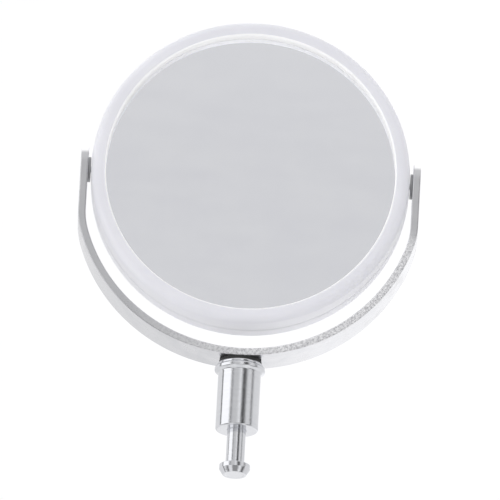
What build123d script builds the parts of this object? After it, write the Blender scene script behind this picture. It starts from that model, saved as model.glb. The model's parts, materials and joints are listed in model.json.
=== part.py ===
from build123d import *
import math
import os

# Head of an extendable shaving mirror, in millimetres.
# A two-sided round mirror tips between the arms of a U-shaped fork, and the
# fork turns on a chromed stem whose plug pin drops into the wall arm.
# +Z is up, the plain mirror faces -Y, and the origin is the bottom centre of
# the plug pin's head.

# Heights
PIVOT_Z = 167.5            # tilt axis, which runs along X
FORK_BOTTOM_Z = 63.7       # underside of the fork's strip
SLEEVE_TOP_Z = 60.6
SLEEVE_BOTTOM_Z = 25.0
HEAD_TOP_Z = 6.0

# Mirror ring: radii about the Y axis through the pivot height
RING_R = 85.0
LIP_R = 77.2
WALL_R = 82.0              # inside of the ring's side wall
POCKET_R = 80.0            # seat that centres each glass
FRONT_Y = -11.5            # plane of the front lip
SPLIT_Y = 3.0              # parting plane of the two bezel halves
REAR_Y = 13.5              # plane of the rear lip
FRONT_EDGE_R = 4.0
REAR_EDGE_R = 2.5
LIP_EDGE_R = 1.2
SPLIT_BEVEL = 0.6
SPLIT_EDGE_R = 0.3
TONGUE_R = (80.7, 81.9)
TONGUE_Y = 0.4

# Glass
GLASS_R = 79.7
GLASS_THICKNESS = 2.5
FRONT_RECESS = 6.3
REAR_RECESS = 3.5
MAGNIFIER_R = 900.0        # spherical radius of the magnifying side
PLAIN_Y = FRONT_Y + FRONT_RECESS
PLAIN_BACK_Y = PLAIN_Y + GLASS_THICKNESS
BOWL_RIM_Y = REAR_Y - REAR_RECESS
HOOP_R = (76.6, 79.6)
PAD_R = 66.0
PAD_GAP = 0.05

# Tilt pivots: lengths along X
ARM_INNER_X = 86.7
STRIP_THICKNESS = 4.0
STRIP_WIDTH = 24.0
ARM_OUTER_X = ARM_INNER_X + STRIP_THICKNESS
PIN_R = 1.75
PIN_END_X = 70.6
RIVET_R = 3.2
RIVET_DEPTH = 1.2
RUNNING_GAP = 0.05
CLIP_X = (71.3, 71.9)
CLIP_GROOVE_R = 1.25
CLIP_R = 2.45
CLIP_MOUTH = 2.2
BLOCK_X = 73.0
BLOCK_Y = (-2.6, 2.9)
BLOCK_HALF_Z = 7.0
BLOCK_GAP = 0.3            # room round a block in the hoop's notch
TONGUE_GAP = 1.0           # room round a block in the tongue's notch
FIT_GAP = 0.1              # easy fit between pieces that don't turn
BEZEL_HOLE_R = 2.2
CLIP_GAP = 0.05            # end play of the clip in its groove
SPRING_THICKNESS = 0.35
SPRING_GAP = 0.02
SPACER_R = 6.75
SPACER_X = 85.3

# Fork
BOTTOM_INNER_R = 89.0      # bend of the strip's inner face
BEND_BLEND_R = 40.0        # gentle corner between the bend and each arm
BEND_CENTRE_Z = FORK_BOTTOM_Z + STRIP_THICKNESS + BOTTOM_INNER_R
EDGE_BREAK = 0.35
LANDING_R = 9.0            # flat milled for the washer under the screw's head
UNDER_LANDING_R = 11.5     # flat milled for the friction washer
LANDING_DEPTH = 0.15

# Stem
SLEEVE_R = 11.45
SLEEVE_BORE_R = 8.5
SLEEVE_FLOOR = 3.0
FLANGE_R = 13.5
FLANGE_Z = (57.9, 59.7)    # rolled edge of the flange
FLANGE_ROOT_Z = 56.6       # where the flange grows out of the sleeve
ROLL_R = 0.8
DISC_R = 12.2
DISC_TOP_Z = 62.0
SPIGOT_Z = 54.0
WASHER_R = 11.3
SCREW_R = 4.0
SCREW_HEAD_R = 5.8
SCREW_HEAD_HEIGHT = 1.8
SCREW_HEAD_ROUNDING = 1.2
HEAD_WASHER_R = 7.5
HEAD_WASHER_THICKNESS = 0.6
CROSS_SLOT = (6.0, 1.3, 1.0)   # length, width and depth of the screw's recess
NUT_TOP_Z = 52.6
NUT_HEIGHT = 6.5
NUT_ACROSS_FLATS = 13.0
NECK_R = 5.0
HEAD_R = 8.25
HEAD_TIP_R = 6.3
HEAD_CHAMFER = 3.0
PIN_FLANGE_R = 8.2
PIN_FLANGE_HEIGHT = 4.0
VENT_R = 0.5
VENT_ANGLE = -20.0
LOCK_WASHER_R = 7.0
LOCK_SPLIT = (6.0, 0.8, 4.0)   # box that opens the split washer
LOCK_SPLIT_ANGLE = 15.0
SCREW_END_LENGTH = 1.5     # thread that shows past the nut


def outline(*corners):
    """Closed face through (x, y, corner radius) corners, in the XY plane."""
    points = [(x, y) for x, y, _ in corners]
    radii = [radius for _, _, radius in corners]
    return make_face(FilletPolyline(*points, radius=radii, close=True))


def ring_turned(face):
    """Turn a (radius, y) face about the ring's own axis, at the pivot height."""
    return Pos(0, 0, PIVOT_Z) * revolve(face, Axis.Y)


def pivot_turned(face):
    """Turn an (x, radius) face about the tilt axis."""
    return Pos(0, 0, PIVOT_Z) * revolve(face, Axis.X)


def stem_turned(face):
    """Turn a (radius, z) face about the stem's axis."""
    return revolve(Plane.XZ * face, Axis.Z)


def disc(radius, bottom, top, hole=0.0):
    """Flat ring on the stem's axis between two heights."""
    body = Pos(0, 0, bottom) * extrude(Circle(radius), top - bottom)
    if hole:
        body -= Pos(0, 0, bottom) * extrude(Circle(hole), top - bottom)
    return body


def pivot_bore(radius):
    """Rod along the tilt axis, right through the ring, for drilling."""
    rod = extrude(Plane.YZ * Circle(radius), ARM_OUTER_X, both=True)
    return Pos(0, 0, PIVOT_Z) * rod


def bowl_sag(radius):
    """Depth of the magnifying sphere at a radius from its axis."""
    return MAGNIFIER_R - math.sqrt(MAGNIFIER_R**2 - radius**2)


def bowl_y(radius):
    """Place of the magnifier's inner face at a radius."""
    return BOWL_RIM_Y - GLASS_THICKNESS - bowl_sag(GLASS_R) + bowl_sag(radius)


def bowl_arc(edge_radius, offset):
    """Arc of the magnifying sphere, from the axis out to a radius."""
    radii = (0, edge_radius / 2, edge_radius)
    return ThreePointArc(*[(r, bowl_y(r) + offset) for r in radii])


# Mirror head ---------------------------------------------------------------

def make_front_bezel():
    """Deep frosted half: lip, side wall and the seat of the plain glass."""
    bevel_r = RING_R - SPLIT_BEVEL
    shell = ring_turned(outline(
        (LIP_R, FRONT_Y, LIP_EDGE_R),
        (RING_R, FRONT_Y, FRONT_EDGE_R),
        (RING_R, SPLIT_Y - SPLIT_BEVEL, SPLIT_EDGE_R),
        (bevel_r, SPLIT_Y, 0),
        (WALL_R, SPLIT_Y, 0),
        (WALL_R, PLAIN_BACK_Y, 0),
        (POCKET_R, PLAIN_BACK_Y, 0),
        (POCKET_R, PLAIN_Y, 0),
        (LIP_R, PLAIN_Y, 0),
    ))
    return shell - pivot_bore(BEZEL_HOLE_R)


def make_rear_bezel():
    """Shallow frosted half, with a tongue that snaps inside the front half."""
    inner_r, outer_r = TONGUE_R
    seat_y = BOWL_RIM_Y - GLASS_THICKNESS
    shell = ring_turned(outline(
        (LIP_R, REAR_Y, LIP_EDGE_R),
        (RING_R, REAR_Y, REAR_EDGE_R),
        (RING_R, SPLIT_Y + SPLIT_BEVEL, SPLIT_EDGE_R),
        (RING_R - SPLIT_BEVEL, SPLIT_Y, 0),
        (outer_r, SPLIT_Y, 0),
        (outer_r, TONGUE_Y, 0),
        (inner_r, TONGUE_Y, 0),
        (inner_r, seat_y, 0),
        (POCKET_R, seat_y, 0),
        (POCKET_R, BOWL_RIM_Y, 0),
        (LIP_R, BOWL_RIM_Y, 0),
    ))
    for side in (-1, 1):
        notch = Box(4 * TONGUE_GAP, 2 * SPLIT_Y, 2 * (BLOCK_HALF_Z + TONGUE_GAP))
        shell -= Pos(side * WALL_R, 0, PIVOT_Z) * notch
    return shell


def make_plain_glass():
    """Flat pane behind the front lip."""
    return ring_turned(outline(
        (0, PLAIN_Y, 0),
        (GLASS_R, PLAIN_Y, 0),
        (GLASS_R, PLAIN_BACK_Y, 0),
        (0, PLAIN_BACK_Y, 0),
    ))


def make_magnifying_glass():
    """Dished pane, hollow towards the rear."""
    inner = bowl_arc(GLASS_R, 0)
    outer = bowl_arc(GLASS_R, GLASS_THICKNESS)
    sides = [Line(inner @ 1, outer @ 1), Line(outer @ 0, inner @ 0)]
    return ring_turned(make_face([inner, outer, *sides]))


def make_foam_pad():
    """Foam disc that keeps the two panes from rattling."""
    top = bowl_arc(PAD_R, -PAD_GAP)
    base_y = PLAIN_BACK_Y + PAD_GAP
    edge = Line((PAD_R, base_y), top @ 1)
    base = Line((0, base_y), (PAD_R, base_y))
    axis_line = Line(top @ 0, (0, base_y))
    return ring_turned(make_face([top, edge, base, axis_line]))


def make_spacer_hoop():
    """Hoop between the rims of the panes, notched round the pivot blocks."""
    inner_r, outer_r = HOOP_R
    end_y = bowl_y(inner_r) - PAD_GAP
    hoop = ring_turned(outline(
        (inner_r, PLAIN_BACK_Y, 0),
        (outer_r, PLAIN_BACK_Y, 0),
        (outer_r, end_y, 0),
        (inner_r, end_y, 0),
    ))
    depth = BLOCK_Y[1] + BLOCK_GAP - PLAIN_BACK_Y
    reach = 4 * (outer_r - inner_r)
    for side in (-1, 1):
        notch = Box(reach, depth, 2 * (BLOCK_HALF_Z + BLOCK_GAP))
        middle_y = PLAIN_BACK_Y + depth / 2
        hoop -= Pos(side * outer_r, middle_y, PIVOT_Z) * notch
    return hoop


def make_pivot_block(side):
    """Nylon block behind the side wall, drilled as the pin's bearing."""
    depth = BLOCK_Y[1] - BLOCK_Y[0]
    length = RING_R - BLOCK_X
    block = Box(length, depth, 2 * BLOCK_HALF_Z)
    middle_y = (BLOCK_Y[0] + BLOCK_Y[1]) / 2
    block = Pos(BLOCK_X + length / 2, middle_y, PIVOT_Z) * block
    cavity = ring_turned(outline(
        (0, FRONT_Y, 0),
        (WALL_R - FIT_GAP, FRONT_Y, 0),
        (WALL_R - FIT_GAP, REAR_Y, 0),
        (0, REAR_Y, 0),
    ))
    block = (block & cavity) - pivot_bore(PIN_R + RUNNING_GAP)
    return mirrored(block, side)


# Fork ----------------------------------------------------------------------

def mirrored(body, side):
    """The body itself for the right side, its mirror image for the left."""
    return body if side > 0 else mirror(body, Plane.YZ)


def fork_face(half_width, bend_r, blend_r):
    """Filled U: straight arms, a round bottom and a gentle corner between."""
    top_z = PIVOT_Z + STRIP_WIDTH / 2
    corner_z = BEND_CENTRE_Z - math.sqrt(bend_r**2 - half_width**2)
    left, right = (-half_width, corner_z), (half_width, corner_z)
    bend = ThreePointArc(left, (0, BEND_CENTRE_Z - bend_r), right)
    arms = Polyline(right, (half_width, top_z), (-half_width, top_z), left)
    face = make_face([bend, arms])
    corners = face.vertices().sort_by(Axis.Y)[:2]
    return fillet(corners, blend_r)


def crosses_strip(edge):
    """Whether an edge only runs through the thickness of an arm."""
    return edge.geom_type == GeomType.LINE and abs(edge.tangent_at(0).X) > 0.9


def make_fork_strip():
    """Flat bar bent into a U, with full-round arm ends."""
    outer_r = BOTTOM_INNER_R + STRIP_THICKNESS
    outer = fork_face(ARM_OUTER_X, outer_r, BEND_BLEND_R + STRIP_THICKNESS)
    inner = fork_face(ARM_INNER_X, BOTTOM_INNER_R, BEND_BLEND_R)
    strip = extrude(Plane.XZ * (outer - inner), STRIP_WIDTH / 2, both=True)

    end = Pos(0, PIVOT_Z) * Circle(STRIP_WIDTH / 2)
    shank = Pos(0, PIVOT_Z / 2) * Rectangle(STRIP_WIDTH, PIVOT_Z)
    side_view = extrude(Plane.YZ * (end + shank), ARM_OUTER_X + 1.0, both=True)
    strip &= side_view
    long_edges = [edge for edge in strip.edges() if not crosses_strip(edge)]
    strip = fillet(long_edges, EDGE_BREAK)

    inner_face_z = FORK_BOTTOM_Z + STRIP_THICKNESS
    strip -= disc(LANDING_R, inner_face_z - LANDING_DEPTH, BEND_CENTRE_Z)
    strip -= disc(UNDER_LANDING_R, 0, FORK_BOTTOM_Z + LANDING_DEPTH)
    strip -= disc(SCREW_R + RUNNING_GAP, 0, BEND_CENTRE_Z)
    strip -= pivot_bore(PIN_R)
    for side in (-1, 1):
        strip -= mirrored(rivet_cone(), side)
    return strip


def rivet_cone():
    """Countersink of the arm, filled by the pin's flush head."""
    return pivot_turned(outline(
        (ARM_OUTER_X - RIVET_DEPTH, 0, 0),
        (ARM_OUTER_X, 0, 0),
        (ARM_OUTER_X, RIVET_R, 0),
        (ARM_OUTER_X - RIVET_DEPTH, PIN_R, 0),
    ))


def make_pivot_pin(side):
    """Pin riveted flush into the arm, grooved at its inner end for a clip."""
    groove_start, groove_end = CLIP_X
    pin = pivot_turned(outline(
        (PIN_END_X, 0, 0),
        (ARM_OUTER_X, 0, 0),
        (ARM_OUTER_X, RIVET_R, 0),
        (ARM_OUTER_X - RIVET_DEPTH, PIN_R, 0),
        (groove_end, PIN_R, 0),
        (groove_end, CLIP_GROOVE_R, 0),
        (groove_start, CLIP_GROOVE_R, 0),
        (groove_start, PIN_R, 0),
        (PIN_END_X, PIN_R, 0.3),
    ))
    return mirrored(pin, side)


def make_spacer_washer(side):
    """Dark washer that keeps the arm off the ring."""
    washer = pivot_turned(outline(
        (SPACER_X, PIN_R + FIT_GAP, 0),
        (ARM_INNER_X, PIN_R + FIT_GAP, 0),
        (ARM_INNER_X, SPACER_R, 0.3),
        (SPACER_X, SPACER_R, 0.3),
    ))
    return mirrored(washer, side)


def make_pivot_spring(side):
    """Coned spring washer that gives the tilt its friction."""
    inner_r, outer_r = PIN_R + FIT_GAP, CLIP_R
    start, end = CLIP_X[1], BLOCK_X - SPRING_GAP
    spring = pivot_turned(outline(
        (start, inner_r, 0),
        (start + SPRING_THICKNESS, inner_r, 0),
        (end, outer_r, 0),
        (end - SPRING_THICKNESS, outer_r, 0),
    ))
    return mirrored(spring, side)


def make_pivot_clip(side):
    """Open clip in the pin's groove."""
    start, end = CLIP_X[0] + CLIP_GAP, CLIP_X[1] - CLIP_GAP
    clip = pivot_turned(outline(
        (start, CLIP_GROOVE_R, 0),
        (end, CLIP_GROOVE_R, 0),
        (end, CLIP_R, 0),
        (start, CLIP_R, 0),
    ))
    mouth = Box(CLIP_MOUTH, CLIP_MOUTH, CLIP_R)
    clip -= Pos(start, 0, PIVOT_Z + CLIP_R / 2) * mouth
    return mirrored(clip, side)


# Stem ----------------------------------------------------------------------

def make_sleeve():
    """Turned cup: rolled flange at the top, floor at the bottom."""
    floor_z = SLEEVE_BOTTOM_Z + SLEEVE_FLOOR
    cup = stem_turned(outline(
        (NECK_R, SLEEVE_BOTTOM_Z, 0),
        (SLEEVE_R, SLEEVE_BOTTOM_Z, 1.0),
        (SLEEVE_R, FLANGE_ROOT_Z, 0.6),
        (FLANGE_R, FLANGE_Z[0], ROLL_R),
        (FLANGE_R, FLANGE_Z[1], ROLL_R),
        (DISC_R, SLEEVE_TOP_Z, 0),
        (SLEEVE_BORE_R, SLEEVE_TOP_Z, 0),
        (SLEEVE_BORE_R, floor_z, 0),
        (NECK_R, floor_z, 0),
    ))
    vent = Pos((SLEEVE_R + NECK_R) / 2, 0, SLEEVE_BOTTOM_Z)
    return cup - Rot(0, 0, VENT_ANGLE) * vent * Cylinder(VENT_R, SLEEVE_FLOOR)


def make_collar_disc():
    """Disc on top of the sleeve, with a spigot that centres it in the bore."""
    hole_r = SCREW_R + FIT_GAP
    return stem_turned(outline(
        (hole_r, SPIGOT_Z, 0),
        (SLEEVE_BORE_R, SPIGOT_Z, 0),
        (SLEEVE_BORE_R, SLEEVE_TOP_Z, 0),
        (DISC_R, SLEEVE_TOP_Z, 0.3),
        (DISC_R, DISC_TOP_Z, 0.6),
        (hole_r, DISC_TOP_Z, 0),
    ))


def make_friction_washer():
    """Nylon washer between the collar disc and the fork."""
    landing_z = FORK_BOTTOM_Z + LANDING_DEPTH
    return disc(WASHER_R, DISC_TOP_Z, landing_z, SCREW_R + FIT_GAP)


def make_head_washer():
    """Flat washer between the screw's head and the fork."""
    bottom = FORK_BOTTOM_Z + STRIP_THICKNESS - LANDING_DEPTH
    return disc(HEAD_WASHER_R, bottom, bottom + HEAD_WASHER_THICKNESS, SCREW_R + FIT_GAP)


def make_swivel_screw():
    """Pan-headed screw that the fork turns on."""
    landing_z = FORK_BOTTOM_Z + STRIP_THICKNESS - LANDING_DEPTH
    head_z = landing_z + HEAD_WASHER_THICKNESS
    top_z = head_z + SCREW_HEAD_HEIGHT
    end_z = NUT_TOP_Z - NUT_HEIGHT - SCREW_END_LENGTH
    screw = stem_turned(outline(
        (0, end_z, 0),
        (SCREW_R, end_z, 0.8),
        (SCREW_R, head_z, 0),
        (SCREW_HEAD_R, head_z, 0),
        (SCREW_HEAD_R, top_z, SCREW_HEAD_ROUNDING),
        (0, top_z, 0),
    ))
    length, width, depth = CROSS_SLOT
    for angle in (0, 90):
        slot = Rot(0, 0, angle) * Box(length, width, 2 * depth)
        screw -= Pos(0, 0, top_z) * slot
    return screw


def make_lock_washer():
    """Split spring washer under the nut's face."""
    washer = disc(LOCK_WASHER_R, NUT_TOP_Z, SPIGOT_Z, SCREW_R + 2 * FIT_GAP)
    cut = Rot(0, 0, LOCK_SPLIT_ANGLE) * Box(*LOCK_SPLIT)
    middle_z = (NUT_TOP_Z + SPIGOT_Z) / 2
    return washer - Pos((SCREW_R + LOCK_WASHER_R) / 2, 0, middle_z) * cut


def make_swivel_nut():
    """Hexagon nut inside the sleeve."""
    bottom = NUT_TOP_Z - NUT_HEIGHT
    corner_r = NUT_ACROSS_FLATS / math.sqrt(3)
    blank = extrude(RegularPolygon(corner_r, 6), NUT_HEIGHT)
    hole = extrude(Circle(SCREW_R), NUT_HEIGHT)
    return Pos(0, 0, bottom) * (blank - hole)


def make_plug_pin():
    """Pin with a flange inside the sleeve, a long neck and a coned head."""
    floor_z = SLEEVE_BOTTOM_Z + SLEEVE_FLOOR
    return stem_turned(outline(
        (0, 0, 0),
        (HEAD_TIP_R, 0, 0.5),
        (HEAD_R, HEAD_CHAMFER, 0.2),
        (HEAD_R, HEAD_TOP_Z - 0.1, 0.4),
        (NECK_R, HEAD_TOP_Z, 0.2),
        (NECK_R, floor_z, 0),
        (PIN_FLANGE_R, floor_z, 0),
        (PIN_FLANGE_R, floor_z + PIN_FLANGE_HEIGHT, 0.5),
        (0, floor_z + PIN_FLANGE_HEIGHT, 0),
    ))


def make_parts():
    """Every node's name and its solid."""
    parts = {
        "front_bezel": make_front_bezel(),
        "rear_bezel": make_rear_bezel(),
        "plain_mirror_glass": make_plain_glass(),
        "magnifying_mirror_glass": make_magnifying_glass(),
        "foam_pad": make_foam_pad(),
        "glass_spacer_hoop": make_spacer_hoop(),
        "fork_strip": make_fork_strip(),
        "sleeve": make_sleeve(),
        "collar_disc": make_collar_disc(),
        "friction_washer": make_friction_washer(),
        "head_washer": make_head_washer(),
        "swivel_screw": make_swivel_screw(),
        "lock_washer": make_lock_washer(),
        "swivel_nut": make_swivel_nut(),
        "plug_pin": make_plug_pin(),
    }
    for name, side in (("left", -1), ("right", 1)):
        parts[f"pivot_block_{name}"] = make_pivot_block(side)
        parts[f"pivot_pin_{name}"] = make_pivot_pin(side)
        parts[f"spacer_washer_{name}"] = make_spacer_washer(side)
        parts[f"pivot_spring_{name}"] = make_pivot_spring(side)
        parts[f"pivot_clip_{name}"] = make_pivot_clip(side)
    return parts


os.makedirs("parts", exist_ok=True)
for node, shape in make_parts().items():
    export_step(shape, f"parts/{node}.step")
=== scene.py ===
import json
import math

import bmesh
import bpy
from mathutils import Matrix, Vector


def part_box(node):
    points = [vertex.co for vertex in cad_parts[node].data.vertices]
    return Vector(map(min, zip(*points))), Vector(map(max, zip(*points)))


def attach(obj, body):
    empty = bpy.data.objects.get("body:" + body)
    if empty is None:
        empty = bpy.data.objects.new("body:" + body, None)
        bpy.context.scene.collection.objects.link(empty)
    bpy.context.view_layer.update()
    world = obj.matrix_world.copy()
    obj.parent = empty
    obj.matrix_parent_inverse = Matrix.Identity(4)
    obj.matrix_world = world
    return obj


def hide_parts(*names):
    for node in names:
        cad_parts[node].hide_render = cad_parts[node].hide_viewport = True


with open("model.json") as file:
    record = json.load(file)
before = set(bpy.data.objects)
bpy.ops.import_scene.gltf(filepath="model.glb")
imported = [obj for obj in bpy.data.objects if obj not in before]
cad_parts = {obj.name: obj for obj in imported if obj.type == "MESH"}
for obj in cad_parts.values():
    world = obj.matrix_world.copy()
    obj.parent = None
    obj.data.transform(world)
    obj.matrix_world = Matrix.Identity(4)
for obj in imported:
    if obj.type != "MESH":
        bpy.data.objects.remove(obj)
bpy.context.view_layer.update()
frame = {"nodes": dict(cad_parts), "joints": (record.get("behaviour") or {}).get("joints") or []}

MM = 0.001
TURN = 2 * math.pi

# Places taken from the fixed frame, in metres
RING_LOW, RING_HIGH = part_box("front_bezel")
PANE_LOW, PANE_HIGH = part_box("plain_mirror_glass")
BOWL_LOW, BOWL_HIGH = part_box("magnifying_mirror_glass")
REAR_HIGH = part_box("rear_bezel")[1]
STRIP_LOW, STRIP_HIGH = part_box("fork_strip")
SLEEVE_LOW, SLEEVE_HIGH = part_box("sleeve")
DISC_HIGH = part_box("collar_disc")[1]
PLUG_LOW, PLUG_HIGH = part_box("plug_pin")
WASHER_LOW, WASHER_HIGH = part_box("spacer_washer_right")
PIN_LOW, PIN_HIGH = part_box("pivot_pin_right")
PIVOT = Vector((0, 0, frame["joints"][1]["pos_m"][2]))

# Mirror head, in millimetres
RING_R = RING_HIGH.x / MM
LIP_R = RING_R - 7.8
WALL_R = RING_R - 3.0
FRONT_Y = RING_LOW.y / MM
SPLIT_Y = RING_HIGH.y / MM
REAR_Y = REAR_HIGH.y / MM
PANE_Y = PANE_LOW.y / MM
PANE_BACK_Y = PANE_HIGH.y / MM
PANE_R = PANE_HIGH.x / MM
BOWL_RIM_Y = BOWL_HIGH.y / MM
BOWL_INNER_Y = BOWL_LOW.y / MM
BOWL_R = 900.0
GLASS_THICKNESS = PANE_BACK_Y - PANE_Y
SILVER_THICKNESS = 2.0      # coat and its backing paint, deep enough to light the rim
BEVEL = 0.6

# Pivots and stem, in millimetres
PIN_R = 1.75
GROOVE_R = 1.25
RIVET_R = 3.2
ARM_WASHER_R = 6.75
ARM_WASHER_BORE_R = 1.85
SCREW_BORE_R = 4.1
DISC_R = 12.2
SLEEVE_R = 11.45
FLANGE_R = 13.5
SLEEVE_BORE_R = 8.5
SLEEVE_FLOOR = 3.0
NECK_R = 5.0
HEAD_R = 8.25
SHANK_R = 8.2

# Where finishes change, in metres
PAINTED_PALER_TOP_HEIGHTS = (0.16, 0.26)          # heights between which the mirror is painted paler towards the top, a painted brighter reflection
TORN_ALONG = (-0.075, 0.03)         # left to right, where the cut edge starts to tear
TORN_BELOW = (0.140, 0.128)         # heights under which it is torn


# Shader arithmetic ----------------------------------------------------------

class Wire:
    """An output socket that arithmetic can be written on."""

    def __init__(self, tree, socket=None):
        self.tree = tree
        self.socket = socket

    def node(self, kind, settings=None, inputs=None, out=0):
        """Add a node: its type, settings, sockets' values or links, and the output to hand on."""
        made = self.tree.nodes.new(kind)
        for name, value in (settings or {}).items():
            if name == "stops":
                Wire.fill_ramp(made.color_ramp, value)
            else:
                setattr(made, name, value)
        for name, value in (inputs or {}).items():
            if isinstance(value, Wire):
                self.tree.links.new(value.socket, made.inputs[name])
            else:
                made.inputs[name].default_value = value
        return Wire(self.tree, made.outputs[out] if made.outputs else None)

    @staticmethod
    def fill_ramp(ramp, stops):
        """Give a colour ramp its (place, colour) stops."""
        ramp.elements.remove(ramp.elements[1])
        ramp.elements[0].position = 0.0
        ramp.elements[0].color = stops[0][1]
        for place, colour in stops[1:]:
            ramp.elements.new(place).color = colour

    def maths(self, operation, *values):
        """Add one Math node."""
        return self.node("ShaderNodeMath", {"operation": operation}, dict(enumerate(values)))

    def __add__(self, other):
        return self.maths("ADD", self, other)

    def __radd__(self, other):
        return self.maths("ADD", other, self)

    def __sub__(self, other):
        return self.maths("SUBTRACT", self, other)

    def __rsub__(self, other):
        return self.maths("SUBTRACT", other, self)

    def __mul__(self, other):
        return self.maths("MULTIPLY", self, other)

    def __rmul__(self, other):
        return self.maths("MULTIPLY", other, self)

    def __truediv__(self, other):
        return self.maths("DIVIDE", self, other)

    def __rtruediv__(self, other):
        return self.maths("DIVIDE", other, self)

    def __pow__(self, other):
        return self.maths("POWER", self, other)

    def __rpow__(self, other):
        return self.maths("POWER", other, self)

    def __neg__(self):
        return self.maths("MULTIPLY", self, -1.0)


def place(net, stretch=(1, 1, 1), centre=(0, 0, 0), turn=(0, 0, 0)):
    """Object coordinates, centred, turned and stretched."""
    coordinates = net.node("ShaderNodeTexCoord", out="Object")
    inputs = {"Vector": coordinates, "Location": [-c * s for c, s in zip(centre, stretch)],
              "Rotation": turn, "Scale": stretch}
    return net.node("ShaderNodeMapping", {}, inputs)


def noise(net, where, scale, detail=3.0, roughness=0.5):
    """Soft noise between 0 and 1."""
    inputs = {"Vector": where, "Scale": scale, "Detail": detail, "Roughness": roughness}
    return net.node("ShaderNodeTexNoise", {}, inputs)


def remap(net, value, low, high, to_low=0.0, to_high=1.0):
    """Stretch a value's range, smoothly and clamped."""
    inputs = {"Value": value, "From Min": low, "From Max": high, "To Min": to_low,
              "To Max": to_high}
    return net.node("ShaderNodeMapRange", {"interpolation_type": "SMOOTHSTEP"}, inputs)


def blend_colour(net, factor, first, second):
    """Mix two colours."""
    return net.node("ShaderNodeMix", {"data_type": "RGBA"}, {0: factor, 6: first, 7: second}, 2)


def bump(net, height, depth, strength=1.0):
    """Normal from a height between 0 and 1 and its depth in metres."""
    return net.node("ShaderNodeBump", {}, {"Height": height, "Distance": depth,
                                            "Strength": strength})


def surface(name, paint, **constants):
    """Principled material: paint returns its varying inputs, constants hold the rest."""
    material = bpy.data.materials.new(name)
    material.use_nodes = True
    tree = material.node_tree
    tree.nodes.clear()
    net = Wire(tree)
    inputs = {key.replace("_", " "): value for key, value in constants.items()}
    inputs.update(paint(net))
    shader = net.node("ShaderNodeBsdfPrincipled", {}, inputs)
    net.node("ShaderNodeOutputMaterial", {}, {"Surface": shader})
    return material


def colour(red, green, blue):
    return (red, green, blue, 1.0)


# Materials ------------------------------------------------------------------

def frosted_plastic():
    """Milky moulded plastic: cloudy within, satin outside; a painted glow all over, brightest on
    the lip and inner wall, which are also painted paler as painted light.
    """
    def paint(net):
        where = place(net)
        cloud = noise(net, where, 28.0, 2.0)
        grain = noise(net, where, 2600.0, 2.0)
        flow = noise(net, place(net, (60, 900, 60)), 1.0, 2.0)
        tint = blend_colour(net, remap(net, cloud, 0.3, 0.7), colour(0.80, 0.80, 0.835),
                            colour(0.825, 0.825, 0.86))
        spoke = net.node("ShaderNodeVectorMath", {"operation": "LENGTH"},
                         {0: place(net, (1, 0, 1), (0, 0, PIVOT.z))}, "Value")
        # painted light: the lip and inner wall are painted paler and glow white, the rest of the
        # ring glows faint grey, lifting the shade on the wall
        painted_light_wall = remap(net, spoke, LIP_R * MM + 0.0010, LIP_R * MM + 0.0002)
        painted_glow = blend_colour(net, painted_light_wall, colour(0.18, 0.18, 0.20), colour(1.0, 1.0, 1.0))
        return {"Base Color": blend_colour(net, painted_light_wall, tint, colour(0.93, 0.93, 0.95)),
                "Roughness": 0.30 + 0.10 * flow,
                "Emission Color": painted_glow,
                "Normal": bump(net, grain, 0.00004, 0.35)}
    # painted glow: the plastic is given a small emission though it is no lamp
    return surface("frosted_plastic", paint, Subsurface_Weight=0.6,
                   Subsurface_Radius=(0.9, 0.9, 0.95), Subsurface_Scale=0.004, IOR=1.46,
                   Emission_Strength=0.22)


def clear_glass():
    """Float glass with the faintest smears."""
    def paint(net):
        smear = noise(net, place(net, (1, 1, 4), turn=(0, 0.5, 0)), 22.0, 4.0)
        tint = blend_colour(net, remap(net, smear, 0.3, 0.7), colour(0.985, 0.995, 0.992),
                            colour(0.975, 0.985, 0.984))
        return {"Base Color": tint, "Roughness": remap(net, smear, 0.62, 0.9, 0.0, 0.03)}
    return surface("clear_glass", paint, Transmission_Weight=1.0, IOR=1.5)


def silvering():
    """Silver coat behind the glass, very slightly mottled, and painted paler towards the top as a
    painted reflection.
    """
    def paint(net):
        mottle = noise(net, place(net), 34.0, 3.0)
        height = net.node("ShaderNodeSeparateXYZ", {}, {0: place(net)}, 2)
        tint = blend_colour(net, remap(net, mottle, 0.35, 0.65), colour(0.915, 0.905, 0.945),
                            colour(0.93, 0.92, 0.955))
        # painted reflection: the coat is painted paler towards the top
        tint = blend_colour(net, remap(net, height, *PAINTED_PALER_TOP_HEIGHTS), tint, colour(0.96, 0.95, 0.985))
        return {"Base Color": tint, "Roughness": 0.012 + 0.012 * mottle}
    return surface("silvering", paint, Metallic=1.0)


def turned_chrome(name, stretch):
    """Bright plating over fine turning marks that run round the part."""
    def paint(net):
        marks = noise(net, place(net, stretch), 1.0, 4.0, 0.75)
        haze = noise(net, place(net), 160.0, 3.0)
        grime = remap(net, noise(net, place(net, stretch), 0.6, 4.0, 0.8), 0.42, 0.75)
        tint = blend_colour(net, haze, colour(0.68, 0.69, 0.715), colour(0.76, 0.765, 0.785))
        dulled = blend_colour(net, 0.35 * grime * haze, tint, colour(0.42, 0.42, 0.45))
        return {"Base Color": dulled,
                "Roughness": remap(net, haze, 0.35, 0.8, 0.03, 0.12),
                "Normal": bump(net, marks, 0.00008, 0.6)}
    return surface(name, paint, Metallic=1.0)


def strip_chrome():
    """Plated faces of the bar, hazy where the rolled steel shows through."""
    def paint(net):
        haze = noise(net, place(net), 75.0, 4.0, 0.6)
        drawn = noise(net, place(net, (90, 2600, 90)), 1.0, 3.0, 0.6)
        tint = blend_colour(net, remap(net, haze, 0.3, 0.7), colour(0.66, 0.665, 0.685),
                            colour(0.77, 0.77, 0.785))
        return {"Base Color": tint,
                "Roughness": 0.14 + 0.20 * remap(net, haze, 0.4, 0.75),
                "Normal": bump(net, drawn, 0.00004, 0.4)}
    return surface("strip_chrome", paint, Metallic=1.0)


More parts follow.
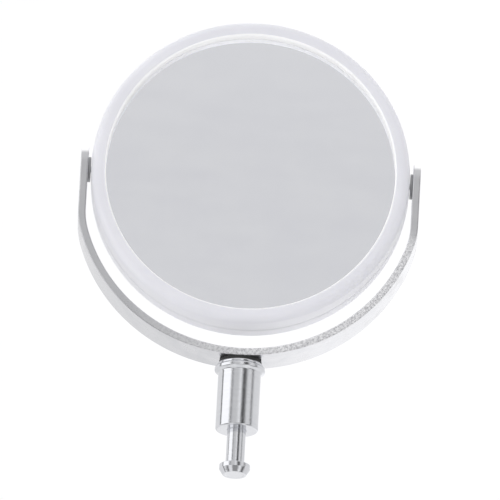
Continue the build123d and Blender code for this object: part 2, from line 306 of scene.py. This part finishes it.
def sheared_edge():
    """Plated cut edges of the bar: smooth on the left arm, torn and pitted round to the right,
    with a painted highlight on the tops of the round ends.
    """
    def paint(net):
        where = place(net)
        along = net.node("ShaderNodeSeparateXYZ", {}, {0: where})
        height_up = net.node("ShaderNodeSeparateXYZ", {}, {0: where}, 2)
        torn = remap(net, along, *TORN_ALONG) * remap(net, height_up, *TORN_BELOW)
        tears = noise(net, place(net, (700, 250, 700)), 1.0, 4.0, 0.8)
        pits = noise(net, where, 1300.0, 3.0, 0.7)
        broad = noise(net, where, 60.0, 2.0)
        height = (0.6 * tears + 0.4 * pits) * (0.10 + 0.90 * torn)
        # painted highlight: near-white colour and a flattened bump over the tops of the arms'
        # round ends
        tip_highlight = remap(net, height_up, PIVOT.z + 0.0055, PIVOT.z + 0.0085)
        worn = blend_colour(net, remap(net, tears, 0.36, 0.60), colour(0.56, 0.56, 0.58),
                            colour(0.99, 0.99, 1.0))
        plain = blend_colour(net, broad, colour(0.50, 0.505, 0.52), colour(0.64, 0.64, 0.65))
        cut = blend_colour(net, torn, plain, worn)
        return {"Base Color": blend_colour(net, tip_highlight, cut, colour(0.97, 0.97, 0.98)),
                "Metallic": 1.0 - 0.7 * torn * tears,
                "Roughness": 0.22 + 0.20 * broad,
                "Normal": bump(net, height * (1.0 - 0.7 * tip_highlight), 0.0006, 0.9)}
    return surface("sheared_edge", paint)


def plain_metal(name, dark, light, low, high, scale=900.0, depth=0.00004):
    """Dull metal with a fine tooth."""
    def paint(net):
        tooth = noise(net, place(net), scale, 3.0)
        patch = noise(net, place(net), scale / 9, 3.0)
        return {"Base Color": blend_colour(net, patch, colour(*dark), colour(*light)),
                "Roughness": low + (high - low) * patch,
                "Normal": bump(net, tooth, depth, 0.5)}
    return surface(name, paint, Metallic=1.0)


def moulded(name, dark, light, rough, scale=1400.0):
    """Dull moulded plastic with a spark-eroded grain."""
    def paint(net):
        grain = noise(net, place(net), scale, 3.0)
        patch = noise(net, place(net), scale / 20, 2.0)
        return {"Base Color": blend_colour(net, patch, colour(*dark), colour(*light)),
                "Roughness": rough + 0.1 * patch,
                "Normal": bump(net, grain, 0.00005, 0.5)}
    return surface(name, paint)


def pad_foam():
    """Closed-cell foam: small round pits all over, painted darker inside as painted shade."""
    def paint(net):
        cells = net.node("ShaderNodeTexVoronoi", {"feature": "SMOOTH_F1"},
                         {"Vector": place(net), "Scale": 1100.0}, "Distance")
        # painted shade: the pits are painted darker than the foam between them
        return {"Base Color": blend_colour(net, cells, colour(0.70, 0.70, 0.68),
                                           colour(0.84, 0.84, 0.82)),
                "Roughness": 0.85 + 0.1 * cells,
                "Normal": bump(net, cells, 0.0002, 0.8)}
    return surface("pad_foam", paint)


PLASTIC = frosted_plastic()
GLASS = clear_glass()
SILVER = silvering()
STEM_CHROME = turned_chrome("stem_chrome", (90, 90, 3600))
FACE_CHROME = turned_chrome("face_chrome", (700, 700, 700))
STRIP_CHROME = strip_chrome()
SHEARED = sheared_edge()
DARK_STEEL = plain_metal("dark_steel", (0.26, 0.27, 0.27), (0.42, 0.42, 0.43), 0.28, 0.45)
ZINC = plain_metal("zinc_steel", (0.48, 0.49, 0.50), (0.66, 0.66, 0.66), 0.30, 0.45)
BLACK_NYLON = moulded("black_nylon", (0.015, 0.015, 0.016), (0.03, 0.03, 0.03), 0.5)
WHITE_NYLON = moulded("white_nylon", (0.72, 0.72, 0.70), (0.80, 0.80, 0.78), 0.5)
FOAM = pad_foam()


# Mesh work ------------------------------------------------------------------

def corner_offset(before, corner, after, radius):
    """How far from a corner its rounding starts."""
    turn = (corner - before).angle(after - corner)
    return radius * math.tan(turn / 2)


def rounded_face(corners, segments=6):
    """New bmesh with one face in the XY plane, from (x, y, corner radius)."""
    bm = bmesh.new()
    verts = [bm.verts.new((x, y, 0)) for x, y, _ in corners]
    bm.faces.new(verts)
    places = [v.co.copy() for v in verts]
    for index, (vert, (_, _, radius)) in enumerate(zip(verts, corners)):
        if radius:
            after = places[(index + 1) % len(places)]
            offset = corner_offset(places[index - 1], places[index], after, radius)
            bmesh.ops.bevel(bm, geom=[vert], offset=offset, offset_type="OFFSET",
                            segments=segments, profile=0.5, affect="VERTICES", material=-1)
    return bm


def lathe(corners, axis, centre=(0, 0, 0), steps=192, segments=6):
    """Solid of revolution from (radius, along axis, corner radius), in metres."""
    bm = rounded_face(corners, segments)
    bmesh.ops.delete(bm, geom=list(bm.faces), context="FACES_ONLY")
    # the outline's x is the radius and its y runs along the axis
    turns = {"Y": Matrix.Identity(4),
             "Z": Matrix.Rotation(math.pi / 2, 4, "X"),
             "X": Matrix(((0, 1, 0, 0), (1, 0, 0, 0), (0, 0, 1, 0), (0, 0, 0, 1)))}
    bm.transform(Matrix.Translation(centre) @ turns[axis])
    direction = {"X": (1, 0, 0), "Y": (0, 1, 0), "Z": (0, 0, 1)}[axis]
    bmesh.ops.spin(bm, geom=bm.verts[:] + bm.edges[:], cent=centre, axis=direction,
                   dvec=(0, 0, 0), angle=TURN, steps=steps, use_merge=True,
                   use_normal_flip=False, use_duplicate=False)
    return bm


def close_up(bm):
    """Join what meets, drop what has no area and point every face outwards."""
    bmesh.ops.remove_doubles(bm, verts=bm.verts[:], dist=1e-7)
    bmesh.ops.dissolve_degenerate(bm, edges=bm.edges[:], dist=1e-8)
    bmesh.ops.recalc_face_normals(bm, faces=bm.faces[:])
    return bm


def make_piece(name, bm, materials, body, slot, replaced=(), sharp=32.0):
    """Turn a bmesh into a finished piece that rides on a body."""
    mesh = bpy.data.meshes.new(name)
    bm.to_mesh(mesh)
    bm.free()
    mesh.polygons.foreach_set("use_smooth", [True] * len(mesh.polygons))
    mesh.set_sharp_from_angle(angle=math.radians(sharp))
    for material in materials:
        mesh.materials.append(material)
    piece = bpy.data.objects.new(name, mesh)
    bpy.context.scene.collection.objects.link(piece)
    # soft light passes bright metal and glass, so it reaches the plastic beside them
    piece.visible_diffuse = slot not in ("silvered_glass", "chromed_strip")
    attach(piece, body)
    if replaced:
        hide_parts(*replaced)
    even = piece.modifiers.new("even_shading", "WEIGHTED_NORMAL")
    even.weight = 100
    even.keep_sharp = True
    return piece


def millimetres(*corners):
    """Corners given in millimetres, in metres."""
    return [(x * MM, y * MM, r * MM) for x, y, r in corners]


# Mirror head ----------------------------------------------------------------

def bowl_sag(radius):
    """Depth of the magnifying sphere at a radius, in millimetres."""
    return BOWL_R - math.sqrt(BOWL_R**2 - radius**2)


def build_front_bezel():
    """Deep half of the ring, with a softly rolled outer edge."""
    corners = millimetres(
        (LIP_R, FRONT_Y, 1.2),
        (RING_R, FRONT_Y, 4.0),
        (RING_R, SPLIT_Y - 1.2, 0.5),
        (RING_R - BEVEL, SPLIT_Y, 0.2),
        (WALL_R, SPLIT_Y, 0),
        (WALL_R, PANE_BACK_Y, 0),
        (PANE_R + 0.3, PANE_BACK_Y, 0),
        (PANE_R + 0.3, PANE_Y, 0),
        (LIP_R, PANE_Y, 0.3),
    )
    bm = close_up(lathe(corners, "Y", PIVOT, 256, 8))
    make_piece("front_bezel_shell", bm, [PLASTIC], "mirror_head", "frosted_plastic",
               ["front_bezel"])


def build_rear_bezel():
    """Shallow half of the ring, with its tongue."""
    corners = millimetres(
        (LIP_R, REAR_Y, 1.3),
        (RING_R, REAR_Y, 2.5),
        (RING_R, SPLIT_Y + 1.2, 0.5),
        (RING_R - BEVEL, SPLIT_Y, 0.2),
        (WALL_R - 0.1, SPLIT_Y, 0),
        (WALL_R - 1.3, SPLIT_Y + 0.1, 0),
        (WALL_R - 1.3, BOWL_RIM_Y - GLASS_THICKNESS, 0),
        (PANE_R + 0.3, BOWL_RIM_Y - GLASS_THICKNESS, 0),
        (PANE_R + 0.3, BOWL_RIM_Y, 0),
        (LIP_R, BOWL_RIM_Y, 0.3),
    )
    bm = close_up(lathe(corners, "Y", PIVOT, 256, 8))
    make_piece("rear_bezel_shell", bm, [PLASTIC], "mirror_head", "frosted_plastic",
               ["rear_bezel"])


def build_plain_side():
    """Flat pane with its ground rim, and the silver coat on its back."""
    back = PANE_BACK_Y - SILVER_THICKNESS
    pane = lathe(millimetres((0, PANE_Y, 0), (PANE_R, PANE_Y, 0.4), (PANE_R, back, 0.4),
                             (0, back, 0)), "Y", PIVOT, 256, 3)
    make_piece("plain_pane", close_up(pane), [GLASS], "mirror_head", "silvered_glass",
               ["plain_mirror_glass"])
    coat = lathe(millimetres((0, back + 0.01, 0), (PANE_R - 0.3, back + 0.01, 0),
                             (PANE_R - 0.3, PANE_BACK_Y, 0), (0, PANE_BACK_Y, 0)),
                 "Y", PIVOT, 256, 1)
    make_piece("plain_silver_coat", close_up(coat), [SILVER], "mirror_head", "silvered_glass",
               ["plain_mirror_glass"])


def dish(inner_y, outer_y, radius, rings=24):
    """Dished disc between two parallel spheres, hollow towards +Y."""
    places = [radius * step / rings for step in range(rings + 1)]
    inner = [(r, inner_y + bowl_sag(r), 0) for r in places]
    outer = [(r, outer_y + bowl_sag(r), 0) for r in reversed(places)]
    return close_up(lathe(millimetres(*inner, *outer), "Y", PIVOT, 192, 1))


def build_magnifying_side():
    """Dished pane and the silver coat on its inner face."""
    radius = PANE_R
    middle_y = BOWL_RIM_Y - bowl_sag(radius)
    coat_y = middle_y - GLASS_THICKNESS
    pane = dish(coat_y + SILVER_THICKNESS + 0.01, middle_y, radius)
    make_piece("magnifier_pane", pane, [GLASS], "mirror_head", "silvered_glass",
               ["magnifying_mirror_glass"])
    coat = dish(coat_y, coat_y + SILVER_THICKNESS, radius - 0.3)
    make_piece("magnifier_silver_coat", coat, [SILVER], "mirror_head", "silvered_glass",
               ["magnifying_mirror_glass"])


def build_foam_pad():
    """Foam disc with soft edges, squeezed between the panes."""
    low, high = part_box("foam_pad")
    radius = high.x / MM
    top = BOWL_RIM_Y - bowl_sag(PANE_R) - GLASS_THICKNESS - 0.1
    rings = 12
    places = [radius * step / rings for step in range(rings, -1, -1)]
    crown = [(r, top + bowl_sag(r), 1.2 if r == radius else 0) for r in places]
    corners = millimetres((0, low.y / MM, 0), (radius, low.y / MM, 1.2), *crown)
    pad = make_piece("squeezed_foam_pad", close_up(lathe(corners, "Y", PIVOT, 96, 4)), [FOAM],
                     "mirror_head", "foam", ["foam_pad"])


# Fork -----------------------------------------------------------------------

ARM_INNER = WASHER_HIGH.x
ARM_OUTER = STRIP_HIGH.x
HALF_WIDTH = STRIP_HIGH.y
THICKNESS = ARM_OUTER - ARM_INNER
EDGE_R = 0.75 * MM
BEND_R = 89.0 * MM
BLEND_R = 40.0 * MM
BEND_CENTRE = Vector((0, 0, STRIP_LOW.z + THICKNESS + BEND_R))


def bar_section():
    """Rounded outline of the bar at the right pivot, with a vertex halfway along each face."""
    points = []
    arc = 4
    middles = ((ARM_OUTER - EDGE_R, HALF_WIDTH - EDGE_R, 0),
               (ARM_INNER + EDGE_R, HALF_WIDTH - EDGE_R, 1),
               (ARM_INNER + EDGE_R, -HALF_WIDTH + EDGE_R, 2),
               (ARM_OUTER - EDGE_R, -HALF_WIDTH + EDGE_R, 3))
    for x, y, quarter in middles:
        for step in range(arc + 1):
            angle = (quarter + step / arc) * math.pi / 2
            points.append((x + EDGE_R * math.cos(angle), y + EDGE_R * math.sin(angle)))
        if quarter == 1:
            points.append((ARM_INNER, 0.0))
        if quarter == 3:
            points.append((ARM_OUTER, 0.0))
    return points


def build_fork_bar():
    """Half of the bar swept from the pivot to the middle of the bend, then mirrored."""
    bm = bmesh.new()
    ring = [bm.verts.new((x, y, PIVOT.z)) for x, y in bar_section()]
    edges = [bm.edges.new((a, b)) for a, b in zip(ring, ring[1:] + ring[:1])]

    # full-round end: the front half of the section turns over the top to the back
    front = [v for v in ring if v.co.y <= 1e-9]
    front_edges = [e for e in edges if all(v in front for v in e.verts)]
    copy = bmesh.ops.duplicate(bm, geom=front + front_edges)["geom"]
    bmesh.ops.spin(bm, geom=copy, cent=PIVOT, axis=(1, 0, 0), dvec=(0, 0, 0),
                   angle=-math.pi, steps=40, use_merge=False, use_normal_flip=False,
                   use_duplicate=False)

    # where the arm's inner face leaves the straight for the corner, and the corner for the bend
    blend_x = ARM_INNER - BLEND_R
    lean = math.acos(blend_x / (BEND_R - BLEND_R))
    blend_centre = Vector((blend_x, 0, BEND_CENTRE.z - (BEND_R - BLEND_R) * math.sin(lean)))
    geom = ring + edges
    straight = blend_centre.z - PIVOT.z
    for _ in range(4):
        geom = extrude_ring(bm, geom)
        verts = [g for g in geom if isinstance(g, bmesh.types.BMVert)]
        bmesh.ops.translate(bm, verts=verts, vec=(0, 0, straight / 4))
    for centre, angle, steps in ((blend_centre, lean, 10),
                                 (BEND_CENTRE, math.pi / 2 - lean, 72)):
        swept = bmesh.ops.spin(bm, geom=geom, cent=centre, axis=(0, 1, 0), dvec=(0, 0, 0),
                               angle=angle, steps=steps, use_merge=False,
                               use_normal_flip=False, use_duplicate=False)
        geom = swept["geom_last"]
    bmesh.ops.remove_doubles(bm, verts=bm.verts[:], dist=1e-7)
    for vert in bm.verts:
        if abs(vert.co.x) < 1e-6:
            vert.co.x = 0.0
    other = bmesh.ops.duplicate(bm, geom=bm.verts[:] + bm.edges[:] + bm.faces[:])["geom"]
    verts = [g for g in other if isinstance(g, bmesh.types.BMVert)]
    bmesh.ops.scale(bm, verts=verts, vec=(-1, 1, 1))
    close_up(bm)
    for face in bm.faces:
        face.material_index = 1 if is_cut_edge(face) else 0
    make_piece("fork_bar", bm, [STRIP_CHROME, SHEARED], "fork", "chromed_strip",
               ["fork_strip"])


def is_cut_edge(face):
    """Whether a face of the bar lies on its sheared edges or round end."""
    centre = face.calc_center_median()
    if centre.z > PIVOT.z:
        across = math.hypot(centre.y, centre.z - PIVOT.z)
    else:
        across = abs(centre.y)
    return across > HALF_WIDTH - 0.6 * EDGE_R


def extrude_ring(bm, geom):
    """Extrude a ring of edges and return the new ring."""
    edges = [g for g in geom if isinstance(g, bmesh.types.BMEdge)]
    new = bmesh.ops.extrude_edge_only(bm, edges=edges)["geom"]
    verts = [g for g in new if isinstance(g, bmesh.types.BMVert)]
    new_edges = [g for g in new if isinstance(g, bmesh.types.BMEdge)
                 and all(v in verts for v in g.verts)]
    return verts + new_edges


def build_pivots():
    """Pins with slightly crowned rivet heads, and the dark washers."""
    inner, outer = PIN_LOW.x / MM, PIN_HIGH.x / MM
    for name, side in (("left", -1), ("right", 1)):
        pin = lathe(millimetres(
            (0, inner, 0), (PIN_R, inner, 0.3), (PIN_R, inner + 0.7, 0),
            (GROOVE_R, inner + 0.7, 0), (GROOVE_R, inner + 1.3, 0), (PIN_R, inner + 1.3, 0),
            (PIN_R, outer - 1.2, 0), (RIVET_R, outer + 0.02, 0.1), (1.8, outer + 0.14, 1.0),
            (0, outer + 0.18, 0),
        ), "X", PIVOT, 64, 3)
        washer = lathe(millimetres(
            (ARM_WASHER_BORE_R, WASHER_LOW.x / MM, 0), (ARM_WASHER_R, WASHER_LOW.x / MM, 0.25),
            (ARM_WASHER_R, WASHER_HIGH.x / MM, 0.25), (ARM_WASHER_BORE_R, WASHER_HIGH.x / MM, 0),
        ), "X", PIVOT, 96, 3)
        for bm in (pin, washer):
            if side < 0:
                bmesh.ops.scale(bm, verts=bm.verts[:], vec=(-1, 1, 1))
        make_piece(f"rivet_pin_{name}", close_up(pin), [FACE_CHROME], "fork", "chrome",
                   [f"pivot_pin_{name}"])
        make_piece(f"arm_washer_{name}", close_up(washer), [DARK_STEEL], "fork",
                   "dark_steel", [f"spacer_washer_{name}"])


# Stem -----------------------------------------------------------------------

def build_sleeve():
    """Turned sleeve with its rolled flange."""
    low, high = SLEEVE_LOW.z / MM, SLEEVE_HIGH.z / MM
    corners = millimetres(
        (NECK_R, low + 0.35, 0.1),
        (5.35, low, 0.1),
        (SLEEVE_R, low, 1.0),
        (SLEEVE_R, high - 4.0, 0.9),
        (FLANGE_R, high - 2.7, 0.8),
        (FLANGE_R, high - 0.9, 0.8),
        (DISC_R, high, 0.2),
        (SLEEVE_BORE_R, high, 0),
        (SLEEVE_BORE_R, low + SLEEVE_FLOOR, 0),
        (NECK_R, low + SLEEVE_FLOOR, 0),
    )
    bm = close_up(lathe(corners, "Z", (0, 0, 0), 160, 6))
    make_piece("stem_sleeve", bm, [STEM_CHROME], "stem", "chrome", ["sleeve"], 28.0)


def build_collar_disc():
    """Disc under the fork."""
    low, high = SLEEVE_HIGH.z / MM, DISC_HIGH.z / MM
    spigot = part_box("collar_disc")[0].z / MM
    corners = millimetres(
        (SCREW_BORE_R, spigot, 0),
        (SLEEVE_BORE_R, spigot, 0.3),
        (SLEEVE_BORE_R, low, 0),
        (DISC_R, low, 0.3),
        (DISC_R, high, 0.7),
        (SCREW_BORE_R, high, 0),
    )
    bm = close_up(lathe(corners, "Z", (0, 0, 0), 160, 5))
    make_piece("stem_collar_disc", bm, [STEM_CHROME], "stem", "chrome", ["collar_disc"], 28.0)


def build_plug_pin():
    """Neck and coned head, with crisp turned edges."""
    floor = SLEEVE_LOW.z / MM + SLEEVE_FLOOR
    top = PLUG_HIGH.z / MM
    corners = millimetres(
        (0, 0.12, 0),
        (4.6, 0.12, 0.2),
        (NECK_R, 0, 0.2),
        (6.3, 0, 0.35),
        (HEAD_R, 3.0, 0.25),
        (HEAD_R, 5.5, 0.45),
        (6.4, 6.0, 0.2),
        (NECK_R, 6.0, 0.35),
        (NECK_R, floor, 0),
        (SHANK_R, floor, 0),
        (SHANK_R, top, 0.5),
        (0, top, 0),
    )
    bm = close_up(lathe(corners, "Z", (0, 0, 0), 128, 4))
    make_piece("plug_pin_turned", bm, [STEM_CHROME], "stem", "chrome", ["plug_pin"], 24.0)


def build_flat_washers():
    """Nylon washer under the fork and steel washer under the screw's head."""
    for node, material, slot in (("friction_washer", BLACK_NYLON, "black_nylon"),
                                 ("head_washer", ZINC, "zinc_steel")):
        low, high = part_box(node)
        radius, bottom, top = high.x / MM, low.z / MM, high.z / MM
        corners = millimetres((SCREW_BORE_R, bottom, 0.05), (radius, bottom, 0.15),
                              (radius, top, 0.15), (SCREW_BORE_R, top, 0.05))
        make_piece(f"turned_{node}", close_up(lathe(corners, "Z", (0, 0, 0), 96, 3)),
                   [material], "stem", slot, [node])


def dress_inner_nodes():
    """Finish the nodes that keep their own shape."""
    finishes = {ZINC: ("swivel_screw", "lock_washer", "swivel_nut", "pivot_spring_left",
                       "pivot_spring_right", "pivot_clip_left", "pivot_clip_right"),
                WHITE_NYLON: ("glass_spacer_hoop", "pivot_block_left", "pivot_block_right")}
    for material, names in finishes.items():
        for name in names:
            mesh = frame["nodes"][name].data
            mesh.materials.clear()
            mesh.materials.append(material)


# Studio ---------------------------------------------------------------------

ELEVATION = math.radians(-19.3)
ROLL = math.radians(3.1)
DISTANCE = 12.0
FLOOR_Z = -9.0                                  # below any camera that looks up at the object
VIEW_WIDTH = 0.2668                             # at the pivot's distance, in metres
PIVOT_OFFSET = Vector((0.00019, 0.03826))       # right of and above the view's middle


def build_camera():
    """Long lens below the object, looking up and rolled a little."""
    forward = Vector((0, math.cos(ELEVATION), -math.sin(ELEVATION)))
    level_up = Vector((0, math.sin(ELEVATION), math.cos(ELEVATION)))
    level_right = Vector((1, 0, 0))
    up = level_up * math.cos(ROLL) - level_right * math.sin(ROLL)
    right = level_right * math.cos(ROLL) + level_up * math.sin(ROLL)
    target = PIVOT - right * PIVOT_OFFSET.x - up * PIVOT_OFFSET.y
    data = bpy.data.cameras.new("camera")
    data.sensor_width = 36.0
    data.sensor_height = 36.0
    data.angle = 2 * math.atan(VIEW_WIDTH / 2 / DISTANCE)
    data.clip_end = 50.0
    camera = bpy.data.objects.new("camera", data)
    axes = Matrix((right, up, -forward)).transposed().to_4x4()
    camera.matrix_world = Matrix.Translation(target - forward * DISTANCE) @ axes
    bpy.context.scene.collection.objects.link(camera)
    bpy.context.scene.camera = camera


# Brightness of the room round the object: degrees from the front, to the right
ROOM = ((-180, 1.02), (-175, 0.90), (-150, 0.86), (-106, 0.95), (-103, 0.20), (-97, 0.20),
        (-94, 1.35), (-46, 1.35), (-42, 0.25), (-36, 0.25), (-32, 0.71), (2, 0.71), (4, 1.15),
        (12, 1.15), (18, 0.12), (37, 0.12), (43, 0.80), (69, 0.86), (73, 0.22), (80, 0.22),
        (84, 0.86), (150, 0.88), (162, 1.20), (175, 1.05), (180, 1.02))

# The same for what lies below: pale table with dark gaps beside it
TABLE = ((-180, 1.02), (-140, 0.95), (-115, 0.85), (-100, 0.10), (-62, 0.10), (-52, 1.00),
         (-28, 1.00), (-20, 0.35), (30, 0.35), (38, 1.05), (58, 1.05), (68, 0.10), (96, 0.10),
         (108, 0.85), (140, 0.95), (180, 1.02))


def build_room():
    """Pale room with a few soft cards round it at the camera's height."""
    world = bpy.data.worlds.new("room")
    world.use_nodes = True
    tree = world.node_tree
    tree.nodes.clear()
    net = Wire(tree)
    direction = net.node("ShaderNodeTexCoord", out="Generated")
    parts = net.node("ShaderNodeSeparateXYZ", {}, {0: direction})
    x, y, z = (Wire(tree, parts.socket.node.outputs[i]) for i in range(3))
    turn = net.maths("ARCTAN2", x, -y) / TURN + 0.5
    room, table = ([(degrees / 360 + 0.5, colour(level, level, level * 1.01))
                    for degrees, level in levels] for levels in (ROOM, TABLE))
    ring = net.node("ShaderNodeValToRGB", {"stops": room}, {0: turn})
    floor_ring = net.node("ShaderNodeValToRGB", {"stops": table}, {0: turn})
    ring = blend_colour(net, remap(net, z, -0.50, -0.60), ring, floor_ring)
    high = remap(net, z, 0.45, 0.75)
    low = remap(net, z, -0.86, -0.96)
    away = remap(net, y, -0.3, 0.4)
    sky = blend_colour(net, away, colour(0.95, 0.95, 0.96), colour(1.1, 1.1, 1.1))
    shade = blend_colour(net, high, ring, sky)
    shade = blend_colour(net, low, shade, sky)
    background = net.node("ShaderNodeBackground", {}, {"Color": shade, "Strength": 1.0})
    net.node("ShaderNodeOutputWorld", {}, {"Surface": background})
    bpy.context.scene.world = world


def hide_from_mirrors(thing):
    """Let it light the scene without showing up in the glass or the chrome."""
    thing.visible_glossy = False
    thing.visible_transmission = False


def build_floor():
    """Plain pale floor, well below the object."""
    bm = bmesh.new()
    bmesh.ops.create_circle(bm, cap_ends=True, segments=96, radius=60.0)
    bmesh.ops.translate(bm, verts=bm.verts[:], vec=(0, 0, FLOOR_Z))
    mesh = bpy.data.meshes.new("floor")
    bm.to_mesh(mesh)
    bm.free()
    floor = bpy.data.objects.new("floor", mesh)
    mesh.materials.append(moulded("floor_paint", (0.88, 0.88, 0.88), (0.91, 0.91, 0.91), 0.7,
                                  40.0))
    bpy.context.scene.collection.objects.link(floor)
    hide_from_mirrors(floor)


def build_light(name, place_at, size, power):
    """Soft square lamp aimed at the pivot."""
    data = bpy.data.lights.new(name, "AREA")
    data.size = size
    data.energy = power
    lamp = bpy.data.objects.new(name, data)
    aim = (PIVOT - Vector(place_at)).to_track_quat("-Z", "Y").to_matrix().to_4x4()
    lamp.matrix_world = Matrix.Translation(place_at) @ aim
    hide_from_mirrors(lamp)
    bpy.context.scene.collection.objects.link(lamp)


build_camera()
build_front_bezel()
build_rear_bezel()
build_plain_side()
build_magnifying_side()
build_foam_pad()
build_fork_bar()
build_pivots()
build_sleeve()
build_collar_disc()
build_plug_pin()
build_flat_washers()
dress_inner_nodes()
build_room()
build_floor()
build_light("key_lamp", (-0.3, -1.9, 0.6), 1.2, 3.0)
bpy.context.scene.view_settings.view_transform = "Standard"
